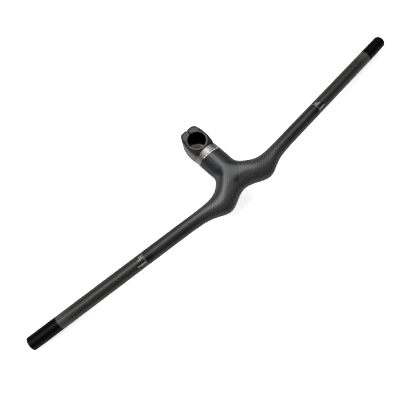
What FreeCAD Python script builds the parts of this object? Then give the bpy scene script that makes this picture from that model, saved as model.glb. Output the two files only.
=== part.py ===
import FreeCAD, Part
import os
import Sketcher

# One-piece carbon handlebar and stem for a bicycle, in millimetres and degrees.
# Origin: centre of the steerer bore. +Z runs along the steerer, forward is -Y, the bar lies along X.

SIZES = {
    # steerer clamp
    "steerer_diameter": 28.6,
    "clamp_height": 40,
    "bore_chamfer": 0.8,
    "head_half_width": 18.4,
    "head_side_radius": 70,
    "head_top_wider": 0.8,
    "head_bottom_narrower": 1,
    "head_widest": -1,
    "head_rear": 23.8,
    "head_front": 21,
    "head_corner_radius": 9,
    "head_edge_break": 0.6,
    "slit_width": 1.8,
    # stem tube
    "stem_half_width": 21.8,
    "stem_start": 19.6,
    "stem_start_half_height": 19.5,
    "stem_start_rise": 3,
    "stem_mid_half_height": 18.5,
    "stem_end_half_width": 15,
    "stem_end_half_height": 9,
    "stem_wall": 3,
    # bar
    "bar_width": 760,
    "bar_reach": 106.2,
    "bar_rise": 23.6,
    "back_sweep": 6.4,
    "bar_drop": 6,
    "grip_diameter": 22.2,
    "straight_start": 105,
    "end_bore": 17.8,
    "end_bore_length": 48,
    "bar_wall": 1.9,
    "end_chamfer": 0.6,
    # shoulders between the stem and the bar
    "elbow_half_width": 19.5,
    "elbow_half_height": 15,
    "root_half_width": 18.6,
    "root_half_height": 14,
    "arm_wall": 3,
    "junction_wall": 5.5,
    "saddle_reach": 24,
    "saddle_half_width": 13.5,
    "saddle_half_height": 12,
    # pinch bolts and what they screw into
    "bolt_diameter": 5,
    "bolt_head_diameter": 8.5,
    "bolt_head_height": 5,
    "bolt_length": 19,
    "bolt_offset": 18.6,
    "bolt_spacing": 22,
    "hex_across_flats": 4,
    "hex_depth": 2.6,
    "seat_diameter": 9,
    "insert_diameter": 7,
    "seat_offset": 9.6,
    "insert_length": 10,
    "insert_setback": 1.5,
    "hole_clearance": 0.2,
    "insert_clearance": 0.05,
}

# Sections of the right arm, from inside the stem to the straight bar. Each has its distance from the
# middle, how far it lies ahead of and below the bar's line, its heading, and its half sizes.
ARM_SECTIONS = {
    "root": ("7", "-35.6", "14.1", "-44.5", "dims.root_half_width", "dims.root_half_height"),
    "throat": ("26", "-5.6", "6.5", "-20", "dims.elbow_half_width - 0.5", "dims.elbow_half_height + 1"),
    "elbow": ("41", "2.6", "4", "-5.5", "dims.elbow_half_width", "dims.elbow_half_height"),
    "knee": ("55", "3", "2", "-3.9", "dims.elbow_half_width - 3.4", "dims.elbow_half_height - 1.5"),
    "taper": ("70", "1.1", "0.7", "3", "dims.grip_diameter / 2 + 1.6", "dims.grip_diameter / 2 + 1.1"),
    "neck": ("88", "0.6", "0.1", "5", "dims.grip_diameter / 2 + 0.3", "dims.grip_diameter / 2 + 0.2"),
    "bar": ("dims.straight_start", "0", "0", "dims.back_sweep", "dims.grip_diameter / 2", "dims.grip_diameter / 2"),
}

# Sections of the stem tube: distance ahead of the steerer, height, half width and half height.
STEM_SECTIONS = {
    "start": ("dims.stem_start", "dims.stem_start_rise", "dims.stem_half_width", "dims.stem_start_half_height"),
    "middle": ("dims.stem_start + 22", "dims.stem_start_rise + 2.5", "dims.stem_half_width",
               "dims.stem_mid_half_height"),
    "front": ("dims.bar_reach - 44", "dims.stem_start_rise + 5.5", "dims.stem_half_width - 0.4",
              "dims.stem_mid_half_height - 0.8"),
    "end": ("dims.bar_reach - 15", "dims.stem_start_rise + 9", "dims.stem_end_half_width",
            "dims.stem_end_half_height"),
}

# Sections of the saddle that joins the two arms in front of the stem: distance from the middle, behind
# the bar's line, height, half width and half height.
SADDLE_SECTIONS = {
    "left": ("-dims.saddle_reach", "9", "14.5", "dims.saddle_half_width", "dims.saddle_half_height"),
    "middle": ("0", "8.6", "12.5", "dims.saddle_half_width - 1.5", "dims.saddle_half_height"),
    "right": ("dims.saddle_reach", "9", "14.5", "dims.saddle_half_width", "dims.saddle_half_height"),
}

UPRIGHT = "rotation(90; 0; 90)"   # turns a flat ellipse to face along +X, with its width along Y


def make_sheet(doc):
    sheet = doc.addObject("Spreadsheet::Sheet", "dims")
    for row, (name, value) in enumerate(SIZES.items(), 1):
        sheet.set("A%d" % row, name)
        sheet.set("B%d" % row, str(value))
        sheet.setAlias("B%d" % row, name)
    doc.recompute()


def add(doc, kind, name, links=None, **expressions):
    """Adds one object, sets what it links to, and binds its sizes to the sheet."""
    thing = doc.addObject(kind, name)
    for key, value in (links or {}).items():
        setattr(thing, key, value)
    for key, expression in expressions.items():
        thing.setExpression(key, expression)
    return thing


def place(x, y, z, turn="rotation(0; 0; 0)"):
    return "placement(vector(%s; %s; %s); %s)" % (x, y, z, turn)


def bar_line(x, ahead="0", below="0"):
    """The point at distance x from the middle on the straight bar's axis, moved ahead and below."""
    y = "-dims.bar_reach + (%s) * tan(dims.back_sweep * 1 deg) - (%s)" % (x, ahead)
    z = "dims.bar_rise - (%s) * tan(dims.bar_drop * 1 deg) / cos(dims.back_sweep * 1 deg) - (%s)" % (x, below)
    return x, y, z


def ellipse(doc, name, where, turn, half_width, half_height):
    return add(doc, "Part::Ellipse", name, MajorRadius=half_width, MinorRadius=half_height,
               Placement=place(*where, turn="%s * %s" % (turn, UPRIGHT)))


def loft(doc, name, sections, hollow):
    """A smooth outside, or an inside that runs straight from each section to the next."""
    return add(doc, "Part::Loft", name, {"Sections": sections, "Solid": True, "MaxDegree": 2, "Ruled": hollow})


def arm(doc, name, hollow=False):
    """The right arm, or its inside, which needs one section fewer near the bar."""
    sections = []
    for part, (x, ahead, below, heading, half_width, half_height) in ARM_SECTIONS.items():
        if hollow and part == "neck":
            continue
        wall = ("dims.junction_wall" if part in ("root", "throat") else "dims.arm_wall") if hollow else "0"
        turn = "rotation(%s; dims.bar_drop; 0)" % heading
        sections.append(ellipse(doc, "%s_%s" % (name, part), bar_line(x, ahead, below), turn,
                                "%s - %s" % (half_width, wall), "%s - %s" % (half_height, wall)))
    return loft(doc, name, sections, hollow)


def stem_tube(doc, name, hollow=False):
    """The tube from the clamp forward. Its inside is straighter and starts one wall ahead of its rear face."""
    wall = "dims.stem_wall" if hollow else "0"
    sections = []
    for part, (ahead, height, half_width, half_height) in STEM_SECTIONS.items():
        if hollow and part == "middle":
            continue
        inset = wall if part == "start" else "0"
        sections.append(ellipse(doc, "%s_%s" % (name, part), ("0", "-(%s) - %s" % (ahead, inset), height),
                                "rotation(-90; 0; 0)", "%s - %s" % (half_width, wall), "%s - %s" % (half_height, wall)))
    return loft(doc, name, sections, hollow)


def saddle(doc, name, hollow=False):
    wall = "dims.arm_wall" if hollow else "0"
    sections = []
    for part, (x, behind, height, half_width, half_height) in SADDLE_SECTIONS.items():
        sections.append(ellipse(doc, "%s_%s" % (name, part), (x, "-dims.bar_reach + " + behind, height),
                                "rotation(0; 0; 0)", "%s - %s" % (half_width, wall), "%s - %s" % (half_height, wall)))
    return loft(doc, name, sections, hollow)


def fused(doc, name, shapes):
    """Fuses shapes one after the other."""
    whole = shapes[0]
    for i, shape in enumerate(shapes[1:], 1):
        last = i == len(shapes) - 1
        whole = add(doc, "Part::Fuse", name if last else "%s_%d" % (name, i), {"Base": whole, "Tool": shape})
    return whole


def mirrored(doc, source):
    return add(doc, "Part::Mirroring", source.Name + "_left", {"Source": source, "Normal": (1, 0, 0)})


def body(doc, name):
    thing = doc.addObject("PartDesign::Body", name)
    thing.Label = name
    return thing


def sketch(owner, name, plane, height=None):
    """A sketch on one of its body's own planes, lifted off it where a height is given."""
    drawing = owner.newObject("Sketcher::SketchObject", name)
    flat = [f for f in owner.Origin.OriginFeatures if f.Role == plane][0]
    drawing.AttachmentSupport = (flat, [""])
    drawing.MapMode = "FlatFace"
    if height:
        drawing.setExpression("AttachmentOffset.Base.z", height)
    return drawing


def outline(drawing, corners):
    """Draws a closed outline of straight sides and ties each corner to its two expressions."""
    count = len(corners)
    for i in range(count):
        start = FreeCAD.Vector(20, 0, 0)
        turn = FreeCAD.Rotation(FreeCAD.Vector(0, 0, 1), 360 / count)
        first = start
        for _ in range(i):
            first = turn.multVec(first)
        drawing.addGeometry(Part.LineSegment(first, turn.multVec(first)), False)
    for i, (x, y) in enumerate(corners):
        drawing.addConstraint(Sketcher.Constraint("Coincident", i, 2, (i + 1) % count, 1))
    for i, corner in enumerate(corners):
        for axis, expression in zip("XY", corner):
            index = drawing.addConstraint(Sketcher.Constraint("Distance" + axis, -1, 1, i, 1, 1.0))
            drawing.renameConstraint(index, "corner%d%s" % (i, axis))
            drawing.setExpression("Constraints.corner%d%s" % (i, axis), expression)


def clamp_head(doc):
    """The upright block round the steerer: bowed at the sides, which lean out towards the top."""
    rounds = [add(doc, "Part::Cone", "head_side_" + side, Height="dims.clamp_height",
                  Radius1="dims.head_side_radius - dims.head_bottom_narrower",
                  Radius2="dims.head_side_radius + dims.head_top_wider",
                  Placement=place("%s * (dims.head_half_width - dims.head_side_radius)" % sign, "dims.head_widest",
                                  "-dims.clamp_height / 2"))
              for side, sign in (("right", "1"), ("left", "-1"))]
    lens = add(doc, "Part::Common", "head_lens", {"Base": rounds[0], "Tool": rounds[1]})
    span = add(doc, "Part::Box", "head_span", Length="4 * dims.head_half_width", Height="dims.clamp_height",
               Width="dims.head_rear + dims.head_front",
               Placement=place("-2 * dims.head_half_width", "-dims.head_front", "-dims.clamp_height / 2"))
    block = add(doc, "Part::Common", "head_block", {"Base": lens, "Tool": span})
    doc.recompute()
    head = doc.addObject("PartDesign::Body", "clamp_head")
    head.BaseFeature = block
    doc.recompute()
    corners = fillet(head, "head_corners", head.Group[0], "dims.head_corner_radius",
                     lambda edge: edge.BoundBox.ZLength > 1 and edge.CenterOfMass.y > 0)
    doc.recompute()
    rims = head.newObject("PartDesign::Chamfer", "head_rims")
    rims.Base = (corners, ["Edge%d" % i for i, edge in enumerate(corners.Shape.Edges, 1)
                           if edge.BoundBox.ZLength < 0.01 and edge.CenterOfMass.y > -SIZES["head_front"] + 1])
    rims.setExpression("Size", "dims.head_edge_break")
    return head


def fillet(owner, name, base, radius, chosen):
    """Rounds the edges of a feature that a test picks out."""
    rounding = owner.newObject("PartDesign::Fillet", name)
    rounding.Base = (base, ["Edge%d" % i for i, edge in enumerate(base.Shape.Edges, 1) if chosen(edge)])
    rounding.setExpression("Radius", radius)
    return rounding


ALONG_BAR = "rotation(dims.back_sweep; dims.bar_drop; 0) * rotation(0; 90; 0)"
ACROSS = "(cos(dims.back_sweep * 1 deg) * cos(dims.bar_drop * 1 deg))"   # how far along X one mm of bar goes
STRAIGHT_LENGTH = "(dims.bar_width / 2 - dims.straight_start) / " + ACROSS


def rod(doc, name, radius, length, where, turn):
    """A round rod that starts at a point and runs along the direction that its turn gives."""
    return add(doc, "Part::Cylinder", name, Radius=radius, Height=length, Placement=place(*where, turn=turn))


def bar_rod(doc, name, diameter, from_x, length):
    return rod(doc, name, "%s / 2" % diameter, length, bar_line(from_x), ALONG_BAR)


def right_outside(doc):
    """What the carbon's outer skin encloses, for the right arm and for the stem and clamp."""
    grip = bar_rod(doc, "grip", "dims.grip_diameter", "dims.straight_start", STRAIGHT_LENGTH + " - dims.end_chamfer")
    tip = add(doc, "Part::Cone", "grip_end", Radius1="dims.grip_diameter / 2",
              Radius2="dims.grip_diameter / 2 - dims.end_chamfer", Height="dims.end_chamfer",
              Placement=place(*bar_line("dims.bar_width / 2 - dims.end_chamfer * " + ACROSS), turn=ALONG_BAR))
    arm_and_grip = fused(doc, "arm_and_grip", [grip, tip, arm(doc, "arm")])
    stem_and_head = fused(doc, "stem_and_head", [stem_tube(doc, "stem"), clamp_head(doc)])
    return fused(doc, "right_outside", [arm_and_grip, stem_and_head, saddle(doc, "saddle")])


def right_hollow(doc):
    """The inside of the stem, of the right arm and of the bar, open at the bar's end."""
    arm_hollow = arm(doc, "arm_hollow", hollow=True)
    bar_hollow = bar_rod(doc, "bar_hollow", "(dims.grip_diameter - 2 * dims.bar_wall)",
                         "dims.straight_start - 1", STRAIGHT_LENGTH + " + 1 / " + ACROSS + " - dims.end_bore_length")
    end_bore = bar_rod(doc, "end_bore", "dims.end_bore", "dims.bar_width / 2 - dims.end_bore_length - 2",
                       "dims.end_bore_length + 12")
    stem_hollow = stem_tube(doc, "stem_hollow", hollow=True)
    saddle_hollow = saddle(doc, "saddle_hollow", hollow=True)
    return fused(doc, "right_hollow", [arm_hollow, bar_hollow, end_bore, stem_hollow, saddle_hollow])


def bolt_levels():
    return (("upper", "dims.bolt_spacing / 2"), ("lower", "-dims.bolt_spacing / 2"))


def clamp_cuts(doc):
    """The steerer's bore, the slit behind it, and the holes for the two pinch bolts."""
    radius = "dims.steerer_diameter / 2"
    bore = rod(doc, "steerer_bore", radius, "dims.clamp_height + 4", ("0", "0", "-dims.clamp_height / 2 - 2"),
               "rotation(0; 0; 0)")
    cuts = [bore]
    for name, turn in (("upper", "rotation(0; 0; 0)"), ("lower", "rotation(0; 180; 0)")):
        side = "1" if name == "upper" else "-1"
        cone = add(doc, "Part::Cone", "bore_chamfer_" + name, Radius1=radius, Radius2=radius + " + dims.bore_chamfer",
                   Height="dims.bore_chamfer",
                   Placement=place("0", "0", "%s * (dims.clamp_height / 2 - dims.bore_chamfer)" % side, turn))
        cuts.append(cone)
    cuts.append(add(doc, "Part::Box", "slit", Length="dims.slit_width", Width="dims.head_rear + 4",
                    Height="dims.clamp_height + 4",
                    Placement=place("-dims.slit_width / 2", "0", "-dims.clamp_height / 2 - 2")))
    along_x = "rotation(0; 90; 0)"
    for name, level in bolt_levels():
        behind = "dims.bolt_offset"
        cuts.append(rod(doc, "bolt_hole_" + name, "dims.bolt_diameter / 2 + dims.hole_clearance",
                        "dims.seat_offset + 1", ("0", behind, level), along_x))
        cuts.append(rod(doc, "head_seat_" + name, "dims.seat_diameter / 2",
                        "dims.head_half_width", ("dims.seat_offset", behind, level), along_x))
        cuts.append(rod(doc, "insert_seat_" + name, "dims.insert_diameter / 2 + dims.insert_clearance",
                        "dims.insert_length + dims.insert_setback",
                        ("-dims.insert_length - dims.insert_setback", behind, level), along_x))
    return cuts


def handlebar(doc):
    """Half of the hollow form, mirrored, and then the clamp's holes."""
    walls = add(doc, "Part::Cut", "walls", {"Base": right_outside(doc), "Tool": right_hollow(doc)})
    right_side = add(doc, "Part::Box", "right_side", Length="dims.bar_width", Width="dims.bar_width",
                     Height="dims.bar_width", Placement=place("0", "-dims.bar_width / 2", "-dims.bar_width / 2"))
    right_half = add(doc, "Part::Common", "right_half", {"Base": walls, "Tool": right_side})
    shell = fused(doc, "shell", [right_half, mirrored(doc, right_half)])
    holes = add(doc, "Part::MultiFuse", "clamp_holes", {"Shapes": clamp_cuts(doc)})
    return add(doc, "Part::Cut", "handlebar", {"Base": shell, "Tool": holes})


def turned(owner, name, corners):
    """Turns an outline, given as radius and height, round its body's own Z axis."""
    drawing = sketch(owner, name + "_profile", "XZ_Plane")
    outline(drawing, corners)
    revolution = owner.newObject("PartDesign::Revolution", name + "_turned")
    revolution.Profile = drawing
    revolution.ReferenceAxis = ([f for f in owner.Origin.OriginFeatures if f.Role == "Z_Axis"][0], [""])
    return revolution


def put(thing, x, y, z):
    thing.setExpression("Placement", place(x, y, z, "rotation(0; 90; 0)"))
    return thing


def pinch_bolt(doc, name, level):
    """M5 socket-head screw, its under-head face at the body's origin and its shank along -Z."""
    bolt = body(doc, name)
    head, shank = "dims.bolt_head_diameter / 2", "dims.bolt_diameter / 2"
    turned(bolt, name, [("0", "dims.bolt_head_height"), ("0", "-dims.bolt_length"), (shank, "-dims.bolt_length"),
                        (shank, "0"), (head, "0"), (head, "dims.bolt_head_height - 0.4"),
                        (head + " - 0.4", "dims.bolt_head_height")])
    hexagon = sketch(bolt, name + "_hex", "XY_Plane", "dims.bolt_head_height")
    flat, corner = "dims.hex_across_flats / 2", "dims.hex_across_flats / 2 / cos(30 deg)"
    half = corner + " / 2"
    outline(hexagon, [(corner, "0"), (half, flat), ("-" + half, flat), ("-" + corner, "0"), ("-" + half, "-" + flat),
                      (half, "-" + flat)])
    pocket = bolt.newObject("PartDesign::Pocket", name + "_socket")
    pocket.Profile = hexagon
    pocket.setExpression("Length", "dims.hex_depth")
    return put(bolt, "dims.seat_offset", "dims.bolt_offset", level)


def threaded_insert(doc, name, level):
    insert = body(doc, name)
    inner, outer = "dims.bolt_diameter / 2 + dims.insert_clearance", "dims.insert_diameter / 2"
    turned(insert, name, [(inner, "0"), (outer, "0"), (outer, "dims.insert_length"), (inner, "dims.insert_length")])
    return put(insert, "-dims.insert_length - dims.insert_setback", "dims.bolt_offset", level)


def fasteners(doc):
    parts = []
    for name, level in bolt_levels():
        parts.append(pinch_bolt(doc, "pinch_bolt_" + name, level))
        parts.append(threaded_insert(doc, "threaded_insert_" + name, level))
    return parts


def check(doc, exported):
    for thing in doc.Objects:
        if "Invalid" in thing.State or "Error" in thing.State:
            raise RuntimeError("%s failed: %s" % (thing.Name, thing.State))
    for thing in exported:
        if thing.Shape.isNull() or not thing.Shape.isValid():
            raise RuntimeError("%s has no valid shape" % thing.Label)


def main():
    doc = FreeCAD.newDocument("handlebar_stem")
    make_sheet(doc)
    nodes = [handlebar(doc)] + fasteners(doc)
    doc.recompute()
    check(doc, nodes)
    os.makedirs("parts", exist_ok=True)
    for node in nodes:
        node.Shape.exportStep("parts/%s.step" % node.Label)
        print(node.Label, len(node.Shape.Solids), "solid", round(node.Shape.Volume), "mm3")


main()
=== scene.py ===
import math

import bmesh
import bpy
from mathutils import Matrix, Vector


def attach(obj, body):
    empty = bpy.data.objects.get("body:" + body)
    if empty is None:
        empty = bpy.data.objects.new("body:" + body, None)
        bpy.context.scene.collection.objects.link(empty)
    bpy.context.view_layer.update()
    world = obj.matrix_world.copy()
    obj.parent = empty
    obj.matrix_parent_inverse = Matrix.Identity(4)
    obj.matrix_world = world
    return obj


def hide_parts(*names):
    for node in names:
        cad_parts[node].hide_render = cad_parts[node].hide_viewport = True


# One-piece carbon handlebar and stem, with its sizes in millimetres.
# +Z is up the steerer, forward is -Y and the bar lies along X.
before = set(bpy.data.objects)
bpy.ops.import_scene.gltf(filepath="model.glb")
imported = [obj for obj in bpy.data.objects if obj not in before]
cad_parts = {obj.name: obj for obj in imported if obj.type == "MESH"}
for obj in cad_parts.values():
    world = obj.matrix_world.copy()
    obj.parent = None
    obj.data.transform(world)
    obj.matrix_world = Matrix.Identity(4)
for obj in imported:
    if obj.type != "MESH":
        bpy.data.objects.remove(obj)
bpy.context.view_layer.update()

MM = 0.001
UP = Vector((0, 0, 1))

bar = {
    "reach": 106.2, "rise": 23.6, "sweep": 6.4, "drop": 6.0,
    "radius": 11.1, "end": 380.0, "chamfer": 0.6,
    "endBore": 8.9, "boreDepth": 48.0, "innerRadius": 9.2, "boreShoulder": 0.4, "innerShown": 14.0,
}
# Rings of the right arm: distance from the middle, ahead of and below the bar's line, heading, half sizes.
armRings = [
    (25.5, -7.1, 6.6, -22.0, 19.0, 16.4),
    (41.0, 3.5, 4.0, -5.5, 20.4, 15.4),
    (55.5, 3.6, 1.9, -4.2, 16.2, 13.6),
    (70.0, 0.8, 0.6, 3.5, 12.4, 12.1),
    (86.0, 0.4, 0.1, 5.6, 11.2, 11.2),
    (104.0, 0.0, 0.0, 6.4, 11.1, 11.1),
    (135.0, 0.0, 0.0, 6.4, 11.1, 11.1),
    (190.0, 0.0, 0.0, 6.4, 11.1, 11.1),
    (260.0, 0.0, 0.0, 6.4, 11.1, 11.1),
    (325.0, 0.0, 0.0, 6.4, 11.1, 11.1),
    (372.0, 0.0, 0.0, 6.4, 11.1, 11.1),
]
# Rings of the stem tube: ahead of the steerer, height, half width, half height.
stemRings = [
    (19.3, 2.5, 13.0, 12.0),
    (19.2, 2.7, 21.7, 19.4),
    (20.6, 3.0, 22.0, 19.8),
    (31.0, 4.3, 21.8, 19.1),
    (45.0, 6.1, 21.8, 18.5),
    (57.0, 7.8, 21.6, 18.0),
    (67.5, 9.2, 21.3, 17.8),
]
saddle = {"ahead": 91.0, "height": 12.6, "halfWidth": 16.1, "halfHeight": 12.8}
# The cage round both: vertices to a ring, subdivisions, how far they shrink a ring, the crease at its rear.
cage = {"around": 16, "levels": 3, "shrink": 0.9746, "rearCrease": 0.9}


def barAxis(side):
    sweep, drop = math.radians(bar["sweep"]), math.radians(bar["drop"])
    level = math.cos(drop)
    return Vector((side * math.cos(sweep) * level, math.sin(sweep) * level, -math.sin(drop)))


def barPoint(x, ahead=0.0, below=0.0, side=1):
    """Point on the bar's straight line at distance x from the middle, moved ahead and below."""
    y = -bar["reach"] + x * math.tan(math.radians(bar["sweep"])) - ahead
    z = bar["rise"] - x * math.tan(math.radians(bar["drop"])) / math.cos(math.radians(bar["sweep"])) - below
    return Vector((side * x, y, z)) * MM


def ellipseRing(mesh, centre, across, up, halfWidth, halfHeight):
    """One ring of the cage, from its top towards across and round to its bottom and back."""
    count = cage["around"]
    grown = MM / cage["shrink"]
    ring = []
    for i in range(count):
        angle = math.tau * i / count
        place = centre + across * (halfWidth * grown * math.sin(angle))
        ring.append(mesh.verts.new(place + up * (halfHeight * grown * math.cos(angle))))
    return ring


def armRing(mesh, side, row):
    x, ahead, below, heading, halfWidth, halfHeight = row
    turn, drop = math.radians(heading), math.radians(bar["drop"])
    along = Vector((math.cos(turn) * math.cos(drop), math.sin(turn) * math.cos(drop), -math.sin(drop)))
    across = Vector((-math.sin(turn), math.cos(turn), 0))
    up = along.cross(across)
    across.x, up.x = across.x * side, up.x * side
    return ellipseRing(mesh, barPoint(x, ahead, below, side), across, up, halfWidth, halfHeight)


def endRing(mesh, side, depth, radius):
    """A ring of the bar's open end, depth back from its tip."""
    axis = barAxis(side)
    across = Vector((-axis.y, axis.x, 0)).normalized() * side
    up = axis.cross(across) * side
    return ellipseRing(mesh, barPoint(bar["end"], side=side) - axis * depth * MM, across, up, radius, radius)


def skinStrip(mesh, first, second):
    """Quads between two rows of vertices."""
    for i in range(len(first) - 1):
        mesh.faces.new((first[i], first[i + 1], second[i + 1], second[i]))


def closed(ring):
    return ring + ring[:1]


def creaseRing(mesh, ring, crease, value=1.0):
    for i in range(len(ring)):
        edge = mesh.edges.get((ring[i], ring[(i + 1) % len(ring)]))
        edge[crease] = value


def addArm(mesh, side, crease):
    """Rings from the throat to the bar's open end, and its bore."""
    rings = [armRing(mesh, side, row) for row in armRings]
    end = [(bar["chamfer"], bar["radius"]), (0.0, bar["radius"] - bar["chamfer"]), (0.0, bar["endBore"]),
           (bar["boreDepth"], bar["endBore"]), (bar["boreDepth"] + bar["boreShoulder"], bar["innerRadius"]),
           (bar["boreDepth"] + bar["innerShown"], bar["innerRadius"])]
    rings += [endRing(mesh, side, depth, radius) for depth, radius in end]
    for near, far in zip(rings, rings[1:]):
        skinStrip(mesh, closed(near), closed(far))
    mesh.faces.new(rings[-1])
    for ring in rings[len(armRings):]:
        creaseRing(mesh, ring, crease)
    return rings[0]


def buildSkin():
    """The smooth one-piece body: two arms and the stem tube joined by a saddle of quads."""
    mesh = bmesh.new()
    crease = mesh.edges.layers.float.new("crease_edge")
    across = Vector((1, 0, 0))
    stem = [ellipseRing(mesh, Vector((0, -ahead, height)) * MM, across, UP, halfWidth, halfHeight)
            for ahead, height, halfWidth, halfHeight in stemRings]
    full, half = cage["around"], cage["around"] // 2
    for near, far in zip(stem, stem[1:]):
        skinStrip(mesh, closed(near), closed(far))
    mesh.faces.new(stem[0])
    for ring in stem[:2]:
        creaseRing(mesh, ring, crease, cage["rearCrease"])
    grown = MM / cage["shrink"]
    front = []
    for i in range(half + 1):
        angle = math.pi * i / half
        y = -saddle["ahead"] * MM - saddle["halfWidth"] * grown * math.sin(angle)
        z = saddle["height"] * MM + saddle["halfHeight"] * grown * math.cos(angle)
        front.append(mesh.verts.new(Vector((0, y, z))))
    throats = {side: addArm(mesh, side, crease) for side in (1, -1)}
    for side, throat in throats.items():
        rear = [stem[-1][i if side > 0 else -i % full] for i in range(half + 1)]
        skinStrip(mesh, rear, throat[:half + 1])
        skinStrip(mesh, front, [throat[-i % full] for i in range(half + 1)])
    for i in (0, half):
        mesh.faces.new((stem[-1][i], throats[1][i], front[i], throats[-1][i]))
    bmesh.ops.recalc_face_normals(mesh, faces=mesh.faces)
    piece = finished(mesh, "barSkin", smooth=True)
    subdivision = piece.modifiers.new("smooth", "SUBSURF")
    subdivision.levels = subdivision.render_levels = cage["levels"]
    return piece


def finished(mesh, name, smooth=False):
    data = bpy.data.meshes.new(name)
    for face in mesh.faces:
        face.smooth = smooth
    mesh.to_mesh(data)
    mesh.free()
    piece = bpy.data.objects.new(name, data)
    bpy.context.scene.collection.objects.link(piece)
    return piece


skin = buildSkin()
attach(skin, "root")
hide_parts("handlebar")

clamp = {
    "halfWidth": 18.5, "sideRadius": 70.0, "widest": -1.0, "rear": 24.6, "front": 21.5, "cornerRadius": 8.5,
    "height": 40.0, "bore": 14.3, "boreChamfer": 0.8, "slit": 1.8,
    "rim": 1.1, "topGrow": 0.9, "bottomShrink": 1.0,
    "collar": 17.2, "slopeFrom": 12.0, "slope": 0.21,
    "boltOffset": 18.6, "boltSpacing": 22.0, "seat": 9.6, "seatRadius": 4.5, "holeRadius": 2.7,
    "holeEnd": 12.0, "sideSteps": 24, "cornerSteps": 12,
}


def clampOutline():
    """The clamp's plan: bowed sides, a flat rear with round corners and a flat front inside the stem."""
    c = clamp
    centre = c["halfWidth"] - c["sideRadius"]
    points = []
    inner = c["sideRadius"] - c["cornerRadius"]
    cornerY = c["rear"] - c["cornerRadius"]
    cornerX = centre + math.sqrt(inner ** 2 - (cornerY - c["widest"]) ** 2)
    startAngle = math.asin((-c["front"] - c["widest"]) / c["sideRadius"])
    endAngle = math.atan2(cornerY - c["widest"], cornerX - centre)
    for i in range(c["sideSteps"] + 1):
        a = startAngle + (endAngle - startAngle) * i / c["sideSteps"]
        points.append((centre + c["sideRadius"] * math.cos(a), c["widest"] + c["sideRadius"] * math.sin(a)))
    for i in range(1, c["cornerSteps"] + 1):
        a = endAngle + (math.pi / 2 - endAngle) * i / c["cornerSteps"]
        points.append((cornerX + c["cornerRadius"] * math.cos(a), cornerY + c["cornerRadius"] * math.sin(a)))
    return points + [(-x, y) for x, y in reversed(points)]


def buildBlock():
    mesh = bmesh.new()
    c = clamp
    rings = []
    for z, grow in ((-c["height"] / 2, -c["bottomShrink"]), (0.0, 0.0), (c["height"] / 2, c["topGrow"])):
        wide = 1 + grow / c["halfWidth"]
        rings.append([mesh.verts.new(Vector((x * wide, y, z)) * MM) for x, y in clampOutline()])
    for low, high in zip(rings, rings[1:]):
        for i in range(len(low)):
            j = (i + 1) % len(low)
            mesh.faces.new((low[i], low[j], high[j], high[i]))
    caps = [mesh.faces.new(list(reversed(rings[0]))), mesh.faces.new(rings[-1])]
    rims = [edge for cap in caps for edge in cap.edges]
    bmesh.ops.bevel(mesh, geom=rims, offset=c["rim"] * MM, segments=3, profile=0.5, affect="EDGES",
                    material=-1)
    bmesh.ops.remove_doubles(mesh, verts=mesh.verts, dist=0.00001)
    bmesh.ops.recalc_face_normals(mesh, faces=mesh.faces)
    return finished(mesh, "clampBlock", smooth=True)


def cutter(name, build):
    mesh = bmesh.new()
    build(mesh)
    bmesh.ops.recalc_face_normals(mesh, faces=mesh.faces)
    return finished(mesh, name)


def addRod(mesh, radius, start, end, segments, topRadius=None):
    start, end = Vector(start) * MM, Vector(end) * MM
    turn = UP.rotation_difference(end - start).to_matrix().to_4x4()
    bmesh.ops.create_cone(mesh, cap_ends=True, segments=segments, radius1=radius * MM,
                          radius2=(topRadius or radius) * MM, depth=(end - start).length,
                          matrix=Matrix.Translation((start + end) / 2) @ turn)


def addBox(mesh, low, high):
    low, high = Vector(low) * MM, Vector(high) * MM
    size = high - low
    bmesh.ops.create_cube(mesh, size=1,
                          matrix=Matrix.Translation((low + high) / 2) @ Matrix.Diagonal((*size, 1)))


def addShoulderTool(mesh):
    """What lies outside the collar and above a plane that falls away towards the front."""
    c = clamp
    reach, ceiling, steps = 45.0, 40.0, 96
    rings = []
    for radius, high in ((c["collar"], False), (reach, False), (reach, True), (c["collar"], True)):
        ring = []
        for i in range(steps):
            x, y = radius * math.cos(math.tau * i / steps), radius * math.sin(math.tau * i / steps)
            z = ceiling if high else c["height"] / 2 - (c["slopeFrom"] - y) * c["slope"]
            ring.append(mesh.verts.new(Vector((x, y, z)) * MM))
        rings.append(ring)
    for inner, outer in zip(rings, rings[1:] + rings[:1]):
        bmesh.ops.bridge_loops(mesh, edges=[e for ring in (inner, outer) for e in ringEdges(mesh, ring)])


def ringEdges(mesh, ring):
    pairs = list(zip(ring, ring[1:] + ring[:1]))
    return [mesh.edges.get(pair) or mesh.edges.new(pair) for pair in pairs]


def cutFrom(piece, tools, sharpFrom=32):
    """Cuts tools out of a piece for good, removes them and keeps the edges that turn this far sharp."""
    for tool in tools:
        modifier = piece.modifiers.new(tool.name, "BOOLEAN")
        modifier.operation, modifier.solver, modifier.object = "DIFFERENCE", "MANIFOLD", tool
    bpy.context.view_layer.update()
    result = bpy.data.meshes.new_from_object(piece.evaluated_get(bpy.context.evaluated_depsgraph_get()))
    result.set_sharp_from_angle(angle=math.radians(sharpFrom))
    piece.modifiers.clear()
    piece.data = result
    for tool in tools:
        bpy.data.objects.remove(tool)


def boltTools(level):
    """The seat of a bolt's head and the hole for its shank, both entered from +X."""
    c, outside = clamp, 30.0
    y = c["boltOffset"]
    seat = (c["seat"], y, level), (outside, y, level)
    hole = (0, y, level), (c["holeEnd"], y, level)
    return [cutter("seatTool", lambda m: addRod(m, c["seatRadius"], *seat, 64)),
            cutter("holeTool", lambda m: addRod(m, c["holeRadius"], *hole, 48))]


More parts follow.
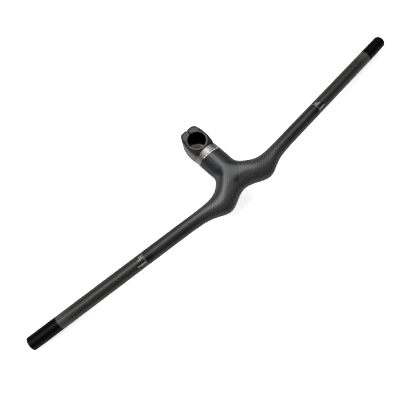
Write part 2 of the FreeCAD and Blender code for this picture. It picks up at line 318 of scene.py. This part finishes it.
def boreTools(end):
    """The chamfer at one end of the bore, from a little inside the bore to a little outside the face."""
    c = clamp
    face = c["height"] / 2
    spare = 0.2
    deep = (0, 0, end * (face - c["boreChamfer"] - spare))
    clear = (0, 0, end * (face + spare))
    wide = c["bore"] + c["boreChamfer"] + spare
    return [cutter("chamferTool", lambda m: addRod(m, c["bore"] - spare, deep, clear, 128, wide))]


block = buildBlock()
half = clamp["height"] / 2
spare = 2.0
below, above = -half - spare, half + spare
tools = [cutter("boreTool", lambda m: addRod(m, clamp["bore"], (0, 0, below), (0, 0, above), 128)),
         cutter("slitTool", lambda m: addBox(m, (-clamp["slit"] / 2, 0, below),
                                             (clamp["slit"] / 2, clamp["rear"] + 2 * spare, above))),
         cutter("shoulderTool", addShoulderTool)]
for end in (1, -1):
    tools += boreTools(end) + boltTools(end * clamp["boltSpacing"] / 2)
cutFrom(block, tools)
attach(block, "root")


class Value:
    """A shader socket that arithmetic can be done on."""

    def __init__(self, graph, socket):
        self.graph, self.socket = graph, socket

    def math(self, operation, *others):
        return self.graph.node("Math", self, *others, operation=operation)

    def __add__(self, other):
        return self.math("ADD", other)

    def __sub__(self, other):
        return self.math("SUBTRACT", other)

    def __rsub__(self, other):
        return self.graph.node("Math", other, self, operation="SUBTRACT")

    def __mul__(self, other):
        return self.math("MULTIPLY", other)

    def __truediv__(self, other):
        return self.math("DIVIDE", other)

    def between(self, low, high):
        """0 below low, 1 above high and smooth between them."""
        return self.graph.node("MapRange", self, low, high, 0.0, 1.0, interpolation_type="SMOOTHSTEP")


socketTitles = {"BaseColor": "Base Color", "CoatWeight": "Coat Weight", "CoatRoughness": "Coat Roughness",
                "Specular": "Specular IOR Level"}


class Paint:
    """A material, and the nodes that feed its shader."""

    def __init__(self, name):
        self.material = bpy.data.materials.new(name)
        self.material.use_nodes = True
        self.tree = self.material.node_tree
        self.shader = self.tree.nodes["Principled BSDF"]

    def node(self, kind, *inputs, out=0, **settings):
        made = self.tree.nodes.new("ShaderNode" + kind)
        for key, value in settings.items():
            setattr(made, key, value)
        for socket, value in zip(made.inputs, inputs):
            self.feed(socket, value)
        return Value(self, made.outputs[out])

    def feed(self, socket, value):
        if isinstance(value, Value):
            self.tree.links.new(value.socket, socket)
        elif value is not None:
            socket.default_value = value

    def set(self, **values):
        for name, value in values.items():
            self.feed(self.shader.inputs[socketTitles.get(name, name)], value)

    def position(self):
        return [self.node("SeparateXYZ", self.node("TexCoord", out=3), out=i) for i in range(3)]

    def mix(self, factor, first, second):
        made = self.tree.nodes.new("ShaderNodeMix")
        made.data_type = "RGBA"
        for socket, value in ((made.inputs[0], factor), (made.inputs[6], first), (made.inputs[7], second)):
            self.feed(socket, value)
        return Value(self, made.outputs[2])


def grey(level, tint=(1, 1, 1)):
    return tuple(level * t for t in tint) + (1,)


CHAMPAGNE = (1.05, 1.0, 0.94)
shades = {
    "weaveGap": grey(0.009), "tow": grey(0.043), "deepTow": grey(0.014),
    "outerGap": grey(0.010, (1.0, 1.0, 0.93)), "outerTow": grey(0.022, (1.0, 1.0, 0.90)),
    "smoothStem": grey(0.008, (0.90, 1.0, 1.12)), "olive": grey(0.042, (1.03, 1.03, 0.90)),
    "scalePatch": grey(0.002), "scaleField": grey(0.004), "print": grey(0.42),
    "tape": grey(0.0008, (0.9, 1.1, 1.1)), "dash": grey(0.85), "stemRimShade": grey(0.012),
    "band": grey(0.155, CHAMPAGNE), "bandLeftShade": grey(0.095, CHAMPAGNE), "bandRightShade": grey(0.040, CHAMPAGNE),
    "wallFootReflection": grey(0.14, (1.04, 1.0, 0.92)), "wallTopShade": grey(0.06, (1.04, 1.0, 0.95)),
    "clampTop": grey(0.060), "collar": grey(0.085), "rim": grey(0.004), "bore": grey(0.0006),
    "steel": grey(0.03), "alloy": grey(0.55),
    "floor": grey(0.9), "floorShade": grey(0.12), "glow": grey(0.8), "noGlow": grey(0),
}
# The tows of the weave, where the bar turns olive and lighter as a painted highlight, and where it is taped.
cloth = {"tow": 3.2, "gap": 0.32, "lean": 0.5, "diagonal": 0.7071,
         "olive": 318.0, "oliveBlur": 20.0, "tape": 330.5}
# The lever scale: its ring and line, the black either side of it, its ticks and the lean of its shown side.
scale = {"x": 181.0, "line": 0.6, "patch": 13.0, "field": 14.0, "step": 2.6, "tick": 0.45, "tilt": 0.33}
# Its marks: from and to along the bar, from and to across it, how strong, and whether cut into ticks.
scaleMarks = [
    (0.8, 14.5, -4.6, -3.6, 1.0, False),
    (0.8, 10.5, -6.4, -4.6, 0.5, True),
    (0.8, 10.5, -9.7, -9.0, 0.35, False),
    (0.8, 6.5, 3.0, 7.5, 0.6, True),
    (6.5, 10.0, 3.0, 3.9, 0.6, False),
]
# The broken white line ahead of the champagne band, and how far to either side both reach.
dashed = {"left": -13.5, "right": 16.5, "skew": 0.08, "pitch": 5.2, "gap": 0.22, "bandReach": 30.0}
# Where one finish or painted shade fades into the next: a mask is 0 at the first place and 1 at the second.
fades = {
    "deepBar": (65.0, 115.0), "wedgeEdge": (-0.6, 0.6), "patchRear": (4.0, 1.0), "fieldRear": (2.5, 0.5),
    "bandFront": (31.0, 30.6), "stemRimShadeFrom": (20.8, 20.5), "bandLeftShade": (-10.0, -16.0), "bandRightShade": (6.0, 15.0),
    "lineRear": (31.7, 31.8), "lineFront": (32.6, 32.5),
    "valleyShadeRadius": (17.0, 17.2), "valleyShadeRear": (13.0, 10.0), "rimDepth": (-4.5, -2.0),
    "edgeWidth": (-3.4, -2.0), "edgeFront": (-4.0, 4.0), "wallShadeDepth": (-16.0, -2.0), "slitShadeWidth": (1.6, 1.3),
    "collarRadius": (17.5, 17.0), "collarFront": (2.0, -4.0), "boreShadeRadius": (14.85, 14.6),
}


def fade(value, name):
    low, high = fades[name]
    return value.between(low * MM, high * MM)


def alongBar(x):
    """How far along the bar's axis the point at distance x from the middle lies."""
    return barAxis(1).dot(barPoint(x))


# The smooth stem runs into the woven arms as a wedge between these points of its plan.
wedgeCorners = [(-17.0, -70.0), (-6.0, -100.0), (14.0, -79.0), (19.0, -62.0)]


def wedge(x, y):
    """1 inside the smooth part of the stem and 0 on the arms."""
    inside = None
    for (ax, ay), (bx, by) in zip(wedgeCorners, wedgeCorners[1:]):
        length = math.hypot(bx - ax, by - ay)
        distance = (y - ay * MM) * ((bx - ax) / length) - (x - ax * MM) * ((by - ay) / length)
        inside = distance if inside is None else inside.math("MINIMUM", distance)
    return fade(inside, "wedgeEdge")


def skinPlaces(paint):
    """A point's x, y and z, and its place along the bar, behind its line and across the scale."""
    x, y, z = paint.position()
    wide = x.math("ABSOLUTE")
    axis, sweep, drop = barAxis(1), math.radians(bar["sweep"]), math.radians(bar["drop"])
    along = wide * axis.x + y * axis.y + z * axis.z
    rearward = y * math.cos(sweep) - wide * math.sin(sweep) + bar["reach"] * MM * math.cos(sweep)
    lift = z + wide * (math.tan(drop) / math.cos(sweep)) - bar["rise"] * MM
    slant = rearward * math.cos(scale["tilt"]) + lift * math.sin(scale["tilt"])
    shown = lift * math.cos(scale["tilt"]) - rearward * math.sin(scale["tilt"])
    return {"x": x, "y": y, "z": z, "ahead": y * -1.0, "wide": wide, "along": along,
            "rearward": rearward, "slant": slant, "shown": shown}


def beyond(at, place, blur=0.4):
    """1 further out than a place on the bar and 0 nearer its middle."""
    edge = alongBar(place)
    return at["along"].between(edge - blur * MM, edge + blur * MM)


def weave(at):
    """1 and 0.7 by turns where the tows of a plain weave cross, at 45 degrees, and 0 in its gaps."""
    column, row = (((at["x"] + side) * cloth["diagonal"] + at["z"] * cloth["lean"]) / (cloth["tow"] * MM)
                   for side in (at["y"], at["ahead"]))
    crossed = (column.math("FRACT").math("GREATER_THAN", cloth["gap"])
               * row.math("FRACT").math("GREATER_THAN", cloth["gap"]))
    over = ((column.math("FLOOR") + row.math("FLOOR")) / 2.0).math("FRACT").math("LESS_THAN", 0.4)
    return crossed * (over * 0.3 + 0.7)


def carbonColour(paint, at):
    """Woven arms round the smooth stem, a deeper bar, and its outer ends turning olive and lighter, a painted
    highlight.
    """
    over = weave(at)
    colour = paint.mix(over, shades["weaveGap"], shades["tow"])
    colour = paint.mix(wedge(at["x"], at["y"]), colour, shades["smoothStem"])
    deep = paint.mix(over, shades["weaveGap"], shades["deepTow"])
    colour = paint.mix(fade(at["wide"], "deepBar"), colour, deep)
    outer = paint.mix(over, shades["outerGap"], shades["outerTow"])
    colour = paint.mix(beyond(at, scale["x"]), colour, outer)
    # Olive tint with a painted highlight: the outer ends are lighter than the bar inboard of them.
    return paint.mix(beyond(at, cloth["olive"], cloth["oliveBlur"]), colour, shades["olive"])


def printed(at, start, end, low, high):
    """A rectangle of print between two places outside the ring and two heights across the shown side."""
    first, last = alongBar(scale["x"] + start), alongBar(scale["x"] + end)
    box = at["along"].math("GREATER_THAN", first) * at["along"].math("LESS_THAN", last)
    return box * at["slant"].math("GREATER_THAN", low * MM) * at["slant"].math("LESS_THAN", high * MM)


def printScale(paint, at, colour):
    """Black either side of a thin ring, and pale marks with no figures."""
    outer = beyond(at, scale["x"])
    patch = beyond(at, scale["x"] - scale["patch"], 2.0) * (1.0 - outer) * fade(at["rearward"], "patchRear")
    colour = paint.mix(patch, colour, shades["scalePatch"])
    facing = at["shown"].math("GREATER_THAN", 0.0)
    field = outer * (1.0 - beyond(at, scale["x"] + scale["field"], 1.0)) * fade(at["slant"], "fieldRear")
    colour = paint.mix(field * facing, colour, shades["scaleField"])
    steps = (at["along"] - alongBar(scale["x"])) / (scale["step"] * MM)
    ticks = steps.math("FRACT").math("LESS_THAN", scale["tick"])
    marks = None
    for start, end, low, high, strength, ticked in scaleMarks:
        mark = printed(at, start, end, low, high) * strength
        mark = mark * ticks if ticked else mark
        marks = mark if marks is None else marks + mark
    near, far = scale["x"] - scale["line"] / 2, scale["x"] + scale["line"] / 2
    ring = beyond(at, near, 0.1) * (1.0 - beyond(at, far, 0.1))
    marks = (marks * facing).math("MAXIMUM", ring * 0.35).math("MINIMUM", 1.0)
    return paint.mix(marks, colour, shades["print"])


def paintBand(paint, at, colour, onStem, band):
    """The champagne band with painted shade on its flanks, the broken line ahead of it, and painted shade
    behind it at the stem's rear rim.
    """
    x = at["x"]
    # Painted shade: the band darkens towards its flanks, most on the right.
    champagne = paint.mix(fade(x, "bandRightShade"), shades["band"], shades["bandRightShade"])
    champagne = paint.mix(fade(x, "bandLeftShade"), champagne, shades["bandLeftShade"])
    colour = paint.mix(band, colour, champagne)
    skewed = at["ahead"] - x.math("MINIMUM", 0.0) * dashed["skew"]
    line = fade(skewed, "lineRear") * fade(skewed, "lineFront") * onStem
    line = line * x.math("GREATER_THAN", dashed["left"] * MM) * x.math("LESS_THAN", dashed["right"] * MM)
    dashes = (x / (dashed["pitch"] * MM)).math("FRACT").math("GREATER_THAN", dashed["gap"])
    colour = paint.mix(line * dashes, colour, shades["dash"])
    # Painted shade: the stem's rear rim, next to the clamp's top, is painted dark.
    return paint.mix(fade(at["ahead"], "stemRimShadeFrom") * onStem, colour, shades["stemRimShade"])


def skinPaint():
    paint = Paint("carbonSkin")
    at = skinPlaces(paint)
    colour = printScale(paint, at, carbonColour(paint, at))
    tape = beyond(at, cloth["tape"], 0.3)
    colour = paint.mix(tape, colour, shades["tape"])
    onStem = at["wide"].math("LESS_THAN", dashed["bandReach"] * MM)
    band = fade(at["ahead"], "bandFront") * onStem
    colour = paintBand(paint, at, colour, onStem, band)
    # The coat gives all the gloss, less on the tape, and fades towards the outline, which stays dark.
    turned = 1.0 - paint.node("LayerWeight", 0.5, out=1)
    gloss = paint.node("MapRange", tape, 0.0, 1.0, 0.66, 0.2) * turned
    paint.set(BaseColor=colour, Roughness=0.45, Metallic=band * 0.7, Specular=0.0, CoatWeight=gloss,
              CoatRoughness=0.36)
    return paint.material


def pastTopOutline(x, y):
    """How far a point lies outside the clamp's top outline, with bowed sides and round rear corners."""
    c = clamp
    corner = c["cornerRadius"] * MM
    behind = y - c["widest"] * MM
    width = (c["halfWidth"] + c["topGrow"]) * MM - behind * behind / (2 * c["sideRadius"] * MM)
    sideways = x.math("ABSOLUTE") - width + corner
    rearward = y - (c["rear"] * MM - corner)
    squares = [past.math("MAXIMUM", 0.0).math("POWER", 2.0) for past in (sideways, rearward)]
    inside = sideways.math("MAXIMUM", rearward).math("MINIMUM", 0.0)
    return (squares[0] + squares[1]).math("SQRT") + inside - corner


def blockPaint():
    """Champagne walls, lighter at the foot as a painted floor reflection and darker upwards as painted shade,
    a grey top with a black rim, and painted shade over the valley round the collar, in the slit and in the
    bore.
    """
    paint = Paint("clampFinish")
    x, y, z = paint.position()
    upward = paint.node("SeparateXYZ", paint.node("TexCoord", out=1), out=2)
    radius = (x * x + y * y).math("SQRT")
    fall = (y - clamp["slopeFrom"] * MM) * clamp["slope"]
    depth = z - fall.math("MINIMUM", 0.0) - clamp["height"] / 2 * MM
    # Painted shade: the lowered valley round the collar, in front of the bore, is painted black along with
    # the rim.
    valleyShade = fade(radius, "valleyShadeRadius") * fade(y, "valleyShadeRear")
    rim = fade(depth, "rimDepth") * valleyShade.math("MAXIMUM", upward.between(0.93, 0.80))
    edge = fade(pastTopOutline(x, y), "edgeWidth") * upward.between(0.5, 0.9) * fade(y, "edgeFront")
    # Painted shade: the slit's walls and the top just beside it are painted black.
    slit = fade(x.math("ABSOLUTE"), "slitShadeWidth") * y.math("GREATER_THAN", 0.0)
    # One black serves the rim and the painted shade of the valley and the slit.
    black = rim.math("MAXIMUM", edge).math("MAXIMUM", slit)
    # Painted shade: the bore's wall is painted black and loses its coat.
    bore = fade(radius, "boreShadeRadius")
    # Painted reflection and shade: the walls are lighter at the foot and darker towards the top.
    shadedWall = paint.mix(fade(depth, "wallShadeDepth"), shades["wallFootReflection"], shades["wallTopShade"])
    colour = paint.mix(upward.math("ABSOLUTE").between(0.85, 0.97), shadedWall, shades["clampTop"])
    collar = fade(radius, "collarRadius") * fade(y, "collarFront")
    colour = paint.mix(collar, colour, shades["collar"])
    colour = paint.mix(black, colour, shades["rim"])
    colour = paint.mix(bore, colour, shades["bore"])
    paint.set(BaseColor=colour, Roughness=0.6, Specular=0.0, CoatWeight=(1.0 - bore) * 0.1, CoatRoughness=0.4)
    return paint.material


skin.data.materials.append(skinPaint())
block.data.materials.clear()
block.data.materials.append(blockPaint())

steel = Paint("blackSteel")
steel.set(BaseColor=shades["steel"], Roughness=0.35, Metallic=1.0)
alloy = Paint("alloy")
alloy.set(BaseColor=shades["alloy"], Roughness=0.35, Metallic=1.0)
for name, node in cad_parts.items():
    node.data.materials.clear()
    node.data.materials.append((alloy if "insert" in name else steel).material)

# The camera's angles are in degrees, and its focal length is in pixels of a photo photoWidth wide.
camera = {"azimuth": -34.266, "elevation": 68.516, "roll": -8.653, "x": -5.279, "y": 94.491,
          "distance": 684.4, "focal": 434.5, "photoWidth": 400, "sensor": 36, "lift": 20.0}


def addCamera():
    c = camera
    a, e, r = (math.radians(c[key]) for key in ("azimuth", "elevation", "roll"))
    back = Vector((math.sin(a) * math.cos(e), -math.cos(a) * math.cos(e), math.sin(e)))
    right = Vector((math.cos(a), math.sin(a), 0))
    up = back.cross(right)
    right, up = right * math.cos(r) + up * math.sin(r), up * math.cos(r) - right * math.sin(r)
    eye = (back * c["distance"] - right * c["x"] - up * c["y"]) * MM + UP * c["lift"] * MM
    data = bpy.data.cameras.new("camera")
    data.sensor_width, data.lens = c["sensor"], c["sensor"] * c["focal"] / c["photoWidth"]
    data.clip_start, data.clip_end = 0.01, 50
    made = bpy.data.objects.new("camera", data)
    bpy.context.scene.collection.objects.link(made)
    made.matrix_world = Matrix.Translation(eye) @ Matrix((right, up, back)).transposed().to_4x4()
    bpy.context.scene.camera = made


def addLight(name, direction, distance, size, power):
    """A softbox that looks at the stem, with its distance and size in metres."""
    data = bpy.data.lights.new(name, "AREA")
    data.shape, data.size, data.size_y = "RECTANGLE", size[0], size[1]
    data.energy = power
    made = bpy.data.objects.new(name, data)
    bpy.context.scene.collection.objects.link(made)
    aim = Vector((0, -0.07, 0))
    place = Vector(direction).normalized()
    made.location = aim + place * distance
    made.rotation_mode = "QUATERNION"
    made.rotation_quaternion = place.to_track_quat("Z", "Y")


# The floor: its height, half its side in metres, and a painted shadow under the clamp, a darker disc without
# glow, that shows through the bore.
stage = {"height": -32.0, "reach": 6.0, "shadeX": 9.5, "shadeY": 13.5, "shadeFrom": 7.0, "shadeTo": 21.0}


def floorPaint():
    """Pale, and lit up to white for the camera, for gloss and for glass. A shadow is painted under the clamp
    as a darker disc without glow.
    """
    paint = Paint("paleFloor")
    camera, glossy, through = (paint.node("LightPath", out=i) for i in (0, 3, 6))
    x, y, z = paint.position()
    across, back = x - stage["shadeX"] * MM, y - stage["shadeY"] * MM
    distance = (across * across + back * back).math("SQRT")
    # Painted shadow: 0 inside the disc under the clamp and 1 outside it.
    outsidePaintedShadow = distance.between(stage["shadeFrom"] * MM, stage["shadeTo"] * MM)
    glow = paint.mix((camera + glossy + through) * outsidePaintedShadow, shades["noGlow"], shades["glow"])
    paint.feed(paint.shader.inputs["Emission Color"], glow)
    paint.shader.inputs["Emission Strength"].default_value = 1
    paint.set(BaseColor=paint.mix(outsidePaintedShadow, shades["floorShade"], shades["floor"]), Roughness=0.9, Specular=0.0)
    return paint.material


addCamera()
sheet = bmesh.new()
bmesh.ops.create_grid(sheet, x_segments=1, y_segments=1, size=stage["reach"])
floor = finished(sheet, "floor")
floor.location.z = stage["height"] * MM
floor.data.materials.append(floorPaint())

addLight("keySoftbox", (0.12, 0.45, 0.87), 1.4, (0.55, 1.0), 20)
addLight("leftSoftbox", (-0.6, 0.24, 1.2), 1.36, (0.7, 0.4), 7)
addLight("rightSoftbox", (1.1, 0.37, 1.2), 1.67, (0.8, 0.3), 7)
addLight("leftStrip", (-0.9, 0.1, 0.25), 0.9, (0.25, 0.9), 2.5)

world = bpy.data.worlds.new("studio")
bpy.context.scene.world = world
world.use_nodes = True
world.node_tree.nodes["Background"].inputs["Color"].default_value = (1, 1, 1, 1)
world.node_tree.nodes["Background"].inputs["Strength"].default_value = 0.13

scene = bpy.context.scene
scene.view_settings.view_transform = "Standard"
scene.cycles.use_denoising = True
